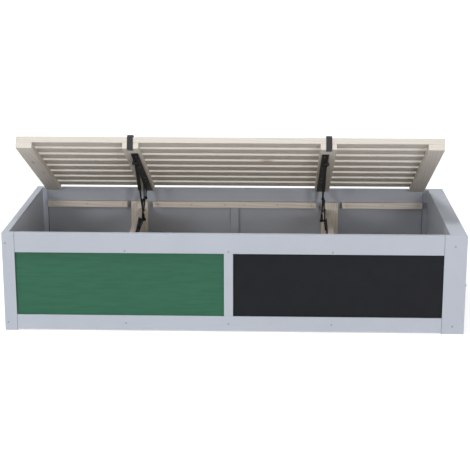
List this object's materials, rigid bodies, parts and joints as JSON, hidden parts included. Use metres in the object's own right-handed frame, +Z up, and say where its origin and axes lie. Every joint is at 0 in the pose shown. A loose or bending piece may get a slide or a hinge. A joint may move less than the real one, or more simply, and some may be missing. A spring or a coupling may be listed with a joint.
{
  "type": "storage bed",
  "caption": "Single storage bed: framed box with two-colour front panels, divided bays and a slatted base raised on lift arms and gas springs",
  "frame": {"origin": "on the floor under the middle of the bed's bounding box", "axes": "+X along the length to the right, +Y to the back, +Z up; front face toward -Y"},
  "size_m": [2.144, 0.969, 0.9034],
  "materials": {
    "black_paint": "satin painted panel",
    "black_steel": "black powder coat",
    "bright_steel": "zinc plated",
    "floor_board": "thin fibreboard",
    "green_paint": "satin painted panel, faintly mottled",
    "grey_paint": "satin painted wood",
    "pale_wood": "planed softwood",
    "rod_steel": "polished rod",
    "screw_steel": "zinc plated",
    "slat_wood": "plain sawn softwood",
    "webbing": "woven webbing"
  },
  "bodies": {
    "box": {"black_panel": "black_paint", "bracket_pins": "bright_steel", "bracket_screws": "screw_steel", "centre_floor_panel": "floor_board", "floor_bearers": "pale_wood", "floor_cleats": "pale_wood", "floor_side_panels": "floor_board", "frame_bolts": "bright_steel", "front_bottom_rail": "grey_paint", "front_centre_stile": "grey_paint", "front_left_post": "grey_paint", "front_middle_ledger": "pale_wood", "front_right_post": "grey_paint", "front_side_ledgers": "pale_wood", "front_top_rail": "grey_paint", "front_uprights": "pale_wood", "green_panel": "green_paint", "ledger_screws": "screw_steel", "left_base_bracket": "black_steel", "left_divider": "pale_wood", "left_end_wall": "grey_paint", "rear_bottom_rail": "grey_paint", "rear_centre_stile": "grey_paint", "rear_left_panel": "grey_paint", "rear_left_post": "grey_paint", "rear_middle_ledger": "pale_wood", "rear_right_panel": "grey_paint", "rear_right_post": "grey_paint", "rear_side_ledgers": "pale_wood", "rear_top_rail": "grey_paint", "rear_uprights": "pale_wood", "right_base_bracket": "black_steel", "right_divider": "pale_wood", "right_end_wall": "grey_paint"},
    "slatted_base": {"base_pins": "bright_steel", "left_inner_cross_rail": "slat_wood", "left_pull_loop": "webbing", "left_upper_bracket": "black_steel", "outer_cross_rails": "slat_wood", "right_inner_cross_rail": "slat_wood", "right_pull_loop": "webbing", "right_upper_bracket": "black_steel", "slat_1": "slat_wood", "slat_2": "slat_wood", "slat_3": "slat_wood", "slat_4": "slat_wood", "slat_5": "slat_wood", "slat_6": "slat_wood", "slat_7": "slat_wood", "slat_8": "slat_wood", "slat_screws": "screw_steel", "upper_bracket_screws": "screw_steel"},
    "left_rear_link": {"left_rear_arm": "black_steel"},
    "left_front_link": {"left_front_arm": "black_steel"},
    "left_spring_rod": {"left_gas_rod": "rod_steel"},
    "left_spring_tube": {"left_gas_cylinder": "black_steel"},
    "right_rear_link": {"right_rear_arm": "black_steel"},
    "right_front_link": {"right_front_arm": "black_steel"},
    "right_spring_rod": {"right_gas_rod": "rod_steel"},
    "right_spring_tube": {"right_gas_cylinder": "black_steel"}
  },
  "joints": [
    {"name": "base_lift", "type": "hinge", "parent": "box", "child": "right_rear_link", "pos_m": [0.441, 0.30869, 0.39007], "axis": [-1, 0, 0], "range_deg": [0, 61.82]},
    {"name": "base_tilt", "type": "hinge", "parent": "right_rear_link", "child": "slatted_base", "pos_m": [0.441, 0.37291, 0.43906], "axis": [1, 0, 0], "range_deg": [0, 87.53]},
    {"name": "left_rear_link_turn", "type": "hinge", "parent": "box", "child": "left_rear_link", "pos_m": [-0.491, 0.30869, 0.39007], "axis": [-1, 0, 0], "range_deg": [0, 61.82]},
    {"name": "left_front_link_turn", "type": "hinge", "parent": "box", "child": "left_front_link", "pos_m": [-0.491, 0.05693, 0.36161], "axis": [-1, 0, 0], "range_deg": [0, 31.92]},
    {"name": "left_spring_turn", "type": "hinge", "parent": "box", "child": "left_spring_rod", "pos_m": [-0.472, 0.116, 0.388], "axis": [1, 0, 0], "range_deg": [0, 49.05]},
    {"name": "left_spring_stroke", "type": "slide", "parent": "left_spring_rod", "child": "left_spring_tube", "axis": [0, 0.668, -0.7442], "range_m": [0, 0.0929]},
    {"name": "right_front_link_turn", "type": "hinge", "parent": "box", "child": "right_front_link", "pos_m": [0.441, 0.05693, 0.36161], "axis": [-1, 0, 0], "range_deg": [0, 31.92]},
    {"name": "right_spring_turn", "type": "hinge", "parent": "box", "child": "right_spring_rod", "pos_m": [0.422, 0.116, 0.388], "axis": [1, 0, 0], "range_deg": [0, 49.05]},
    {"name": "right_spring_stroke", "type": "slide", "parent": "right_spring_rod", "child": "right_spring_tube", "axis": [0, 0.668, -0.7442], "range_m": [0, 0.0929]}
  ],
  "couplings": [
    {"joint": "base_tilt", "follows": "base_lift", "ratio": 1.4159},
    {"joint": "left_rear_link_turn", "follows": "base_lift", "ratio": 1},
    {"joint": "left_front_link_turn", "follows": "base_lift", "ratio": 0.51631},
    {"joint": "left_spring_turn", "follows": "base_lift", "ratio": 0.79349},
    {"joint": "left_spring_stroke", "follows": "base_lift", "m_per_rad": 0.086099},
    {"joint": "right_front_link_turn", "follows": "base_lift", "ratio": 0.51631},
    {"joint": "right_spring_turn", "follows": "base_lift", "ratio": 0.79349},
    {"joint": "right_spring_stroke", "follows": "base_lift", "m_per_rad": 0.086099}
  ]
}
